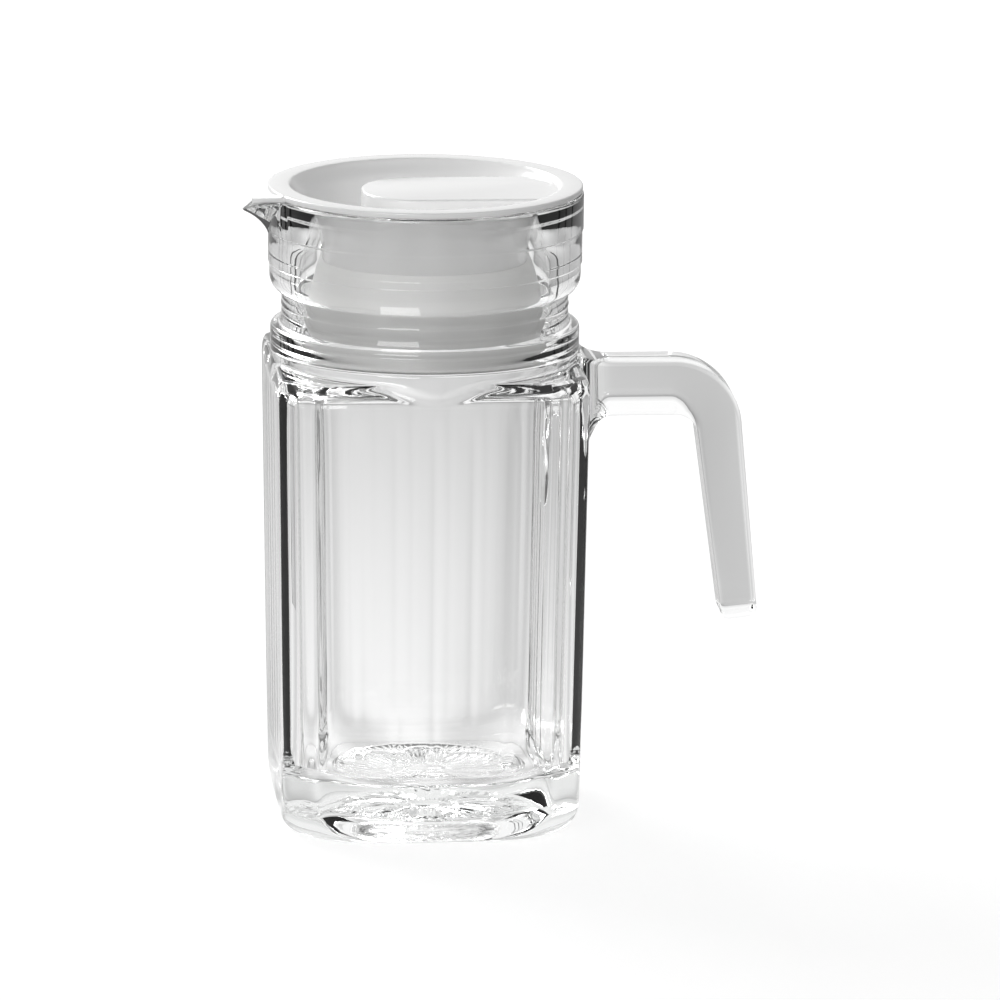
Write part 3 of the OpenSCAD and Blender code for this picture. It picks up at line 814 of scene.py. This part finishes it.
def paintedShadeBelow(nodes, links, colour, paintedShade):  # painted shade: the lower part of the skirt drawn greyer, as if the collar shades it
    low, high, brightness = paintedShade
    where = nodes.new("ShaderNodeTexCoord")
    split = nodes.new("ShaderNodeSeparateXYZ")
    links.new(where.outputs["Object"], split.inputs[0])
    height = nodes.new("ShaderNodeMapRange")
    height.inputs["From Min"].default_value = low
    height.inputs["From Max"].default_value = high
    height.inputs["To Min"].default_value = brightness
    links.new(split.outputs["Z"], height.inputs["Value"])
    scaled = nodes.new("ShaderNodeVectorMath")
    scaled.operation = "SCALE"
    links.new(colour, scaled.inputs[0])
    links.new(height.outputs["Result"], scaled.inputs["Scale"])
    return scaled.outputs[0]


def whitePlastic(look):  # patches of gloss, a faint cloud in the colour and a fine grain
    material, nodes, links, shader = newMaterial(look["name"])
    patches = objectNoise(nodes, links, plasticLook["patchScale"], plasticLook["patchDetail"])
    gloss = nodes.new("ShaderNodeMapRange")
    gloss.inputs["To Min"].default_value = look["roughness"] - plasticLook["patchSpread"]
    gloss.inputs["To Max"].default_value = look["roughness"] + plasticLook["patchSpread"]
    links.new(patches, gloss.inputs["Value"])
    links.new(gloss.outputs["Result"], shader.inputs["Roughness"])
    cloud = objectNoise(nodes, links, plasticLook["cloudScale"], plasticLook["cloudDetail"])
    ramp = nodes.new("ShaderNodeValToRGB")
    ramp.color_ramp.elements[0].color = tuple(c * plasticLook["cloudShade"] for c in look["colour"]) + (1,)
    ramp.color_ramp.elements[1].color = look["colour"] + (1,)
    links.new(cloud, ramp.inputs["Fac"])
    colour = ramp.outputs["Color"]
    # painted shade: the colour is darkened below a given height
    if "paintedShade" in look:
        colour = paintedShadeBelow(nodes, links, colour, look["paintedShade"])
    links.new(colour, shader.inputs["Base Color"])
    grain = objectNoise(nodes, links, plasticLook["grainScale"], plasticLook["grainDetail"])
    addBump(nodes, links, shader, grain, look["grain"], plasticLook["grainDepth"])
    return material


# The studio: a white floor that keeps the shadow, a pale room, soft lamps and dark slats for the glass edges

studio = {
    "worldSeen": 1.0, "worldLight": 0.26, "horizonInGlass": 0.8, "skyInGlass": 1.05, "skyFrom": 0.12,
    "floorSize": 14, "floorSeen": 0.86, "floorLight": 0.28, "floorColour": 0.22,
    "floorInGlass": ((0.06, 0.80), (0.28, 0.64), (0.5, 0.46), (1.0, 0.38)),  # (distance in m, strength)
    "spokes": 8, "spokeShade": 0.38,
}
lamps = {
    "size": (1.1, 0.7), "target": (0, 0, 0.1),
    "placed": {"skyPanel": ((-0.8, 1.3, 1.02), 34), "window": ((-0.8, -1.65, 0.75), 14)},  # (place, watts)
}

# Thin dark slats left and right behind the pitcher draw the dark lines in the glass
slats = {
    "slatLeft": {"first": 138, "last": 158, "count": 4, "away": 0.26, "width": 0.009, "shade": 0.06},
    "slatRight": {"first": 12, "last": 32, "count": 3, "away": 0.3, "width": 0.01, "shade": 0.08},
}
slatHeight = 0.32


def maths(nodes, links, operation, first, second=None):
    node = nodes.new("ShaderNodeMath")
    node.operation = operation
    for socket, value in zip(node.inputs, (first, second)):
        if isinstance(value, (int, float)):
            socket.default_value = value
        elif value is not None:
            links.new(value, socket)
    return node.outputs[0]


def rayStrength(nodes, links, seen, inGlass, light):  # for the camera, for glass and gloss, and for light
    path = nodes.new("ShaderNodeLightPath").outputs
    either = maths(nodes, links, "MAXIMUM", path["Is Glossy Ray"], path["Is Transmission Ray"])
    first = nodes.new("ShaderNodeMix")
    links.new(either, first.inputs["Factor"])
    first.inputs[2].default_value = light
    links.new(inGlass, first.inputs[3])
    second = nodes.new("ShaderNodeMix")
    links.new(path["Is Camera Ray"], second.inputs["Factor"])
    links.new(first.outputs[0], second.inputs[2])
    second.inputs[3].default_value = seen
    return second.outputs[0]


def skyStrength(nodes, links):  # the room seen in glass: grey at the horizon, white above
    direction = nodes.new("ShaderNodeTexCoord")
    split = nodes.new("ShaderNodeSeparateXYZ")
    links.new(direction.outputs["Generated"], split.inputs[0])
    rise = nodes.new("ShaderNodeMapRange")
    rise.inputs["From Max"].default_value = studio["skyFrom"]
    rise.inputs["To Min"].default_value = studio["horizonInGlass"]
    rise.inputs["To Max"].default_value = studio["skyInGlass"]
    links.new(split.outputs["Z"], rise.inputs["Value"])
    return rise.outputs["Result"]


def floorStrength(nodes, links):  # the floor seen in glass: white close by, greyer further off, soft spokes
    where = nodes.new("ShaderNodeTexCoord")
    split = nodes.new("ShaderNodeSeparateXYZ")
    links.new(where.outputs["Object"], split.inputs[0])
    reach = nodes.new("ShaderNodeVectorMath")
    reach.operation = "LENGTH"
    links.new(where.outputs["Object"], reach.inputs[0])
    ramp = nodes.new("ShaderNodeValToRGB")
    elements, stops = ramp.color_ramp.elements, studio["floorInGlass"]
    elements[0].position, elements[1].position = stops[0][0], stops[-1][0]
    for distance, _ in stops[1:-1]:
        elements.new(distance)
    for element, (_, strength) in zip(elements, stops):
        element.color = (strength, strength, strength, 1)
    links.new(reach.outputs["Value"], ramp.inputs["Fac"])
    turn = maths(nodes, links, "ARCTAN2", split.outputs["Y"], split.outputs["X"])
    wave = maths(nodes, links, "COSINE", maths(nodes, links, "MULTIPLY", turn, studio["spokes"]))
    dark = maths(nodes, links, "MULTIPLY", maths(nodes, links, "SUBTRACT", 1, wave), studio["spokeShade"] / 2)
    return maths(nodes, links, "MULTIPLY", ramp.outputs["Color"], maths(nodes, links, "SUBTRACT", 1, dark))


def makeWorld():
    world = bpy.data.worlds.new("paleRoom")
    bpy.context.scene.world = world
    world.use_nodes = True
    nodes, links = world.node_tree.nodes, world.node_tree.links
    strength = rayStrength(nodes, links, studio["worldSeen"], skyStrength(nodes, links), studio["worldLight"])
    links.new(strength, nodes["Background"].inputs["Strength"])
    nodes["Background"].inputs["Color"].default_value = (1, 1, 1, 1)


def makeFloor():
    deselectAll()
    bpy.ops.mesh.primitive_plane_add(size=studio["floorSize"], location=(0, 0, 0))
    floor = bpy.context.active_object
    floor.name = "floor"
    material, nodes, links, shader = newMaterial("whiteFloor")
    nodes.remove(shader)
    diffuse = nodes.new("ShaderNodeBsdfDiffuse")
    diffuse.inputs["Color"].default_value = (studio["floorColour"],) * 3 + (1,)
    glow = nodes.new("ShaderNodeEmission")
    inGlass = floorStrength(nodes, links)
    strength = rayStrength(nodes, links, studio["floorSeen"], inGlass, studio["floorLight"])
    links.new(strength, glow.inputs["Strength"])
    total = nodes.new("ShaderNodeAddShader")
    links.new(diffuse.outputs[0], total.inputs[0])
    links.new(glow.outputs[0], total.inputs[1])
    links.new(total.outputs[0], nodes["Material Output"].inputs["Surface"])
    dress(floor, material)


def addLamp(name, place, power):
    data = bpy.data.lights.new(name, "AREA")
    data.shape = "RECTANGLE"
    data.size, data.size_y = lamps["size"]
    data.energy = power
    lamp = bpy.data.objects.new(name, data)
    bpy.context.scene.collection.objects.link(lamp)
    lamp.location = place
    away = Vector(place) - Vector(lamps["target"])
    lamp.rotation_euler = away.to_track_quat("Z", "Y").to_euler()
    lamp.visible_camera = False


def addSlat(name, degrees, away, width, shade):  # stands on the floor, and only glass and gloss can see it
    a = math.radians(degrees)
    deselectAll()
    bpy.ops.mesh.primitive_plane_add(size=1)
    slat = bpy.context.active_object
    slat.name = name
    slat.scale = (width, slatHeight, 1)
    slat.location = (away * math.cos(a), away * math.sin(a), slatHeight / 2)
    slat.rotation_euler = (math.pi / 2, 0, a - math.pi / 2)
    settle(slat)
    material, nodes, links, shader = newMaterial(name)
    nodes.remove(shader)
    glow = nodes.new("ShaderNodeEmission")
    glow.inputs["Color"].default_value = (shade, shade, shade, 1)
    links.new(glow.outputs[0], nodes["Material Output"].inputs["Surface"])
    dress(slat, material)
    slat.visible_camera = False
    slat.visible_diffuse = False
    slat.visible_shadow = False


def makeLights():
    for name, (place, power) in lamps["placed"].items():
        addLamp(name, place, power)
    for name, row in slats.items():
        for i in range(row["count"]):
            degrees = mix(row["first"], row["last"], i / (row["count"] - 1))
            addSlat(f"{name}{i}", degrees, row["away"], row["width"], row["shade"])


makeWorld()
makeFloor()
makeLights()
print("studio ready")

glassPitcher = makeGlass()
dress(glassPitcher, clearGlass())
print("glass ready")

lidCoverMoulding = makeLidCover()
dress(lidCoverMoulding, whitePlastic(coverLook))
lidPlugSkirt = makeLidPlug()
dress(lidPlugSkirt, whitePlastic(plugLook))
print("lid ready")

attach(glassPitcher, "jug")
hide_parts("glass_jug", "handle")
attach(lidCoverMoulding, "lid")
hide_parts("lid_cover")
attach(lidPlugSkirt, "lid")
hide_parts("lid_plug")
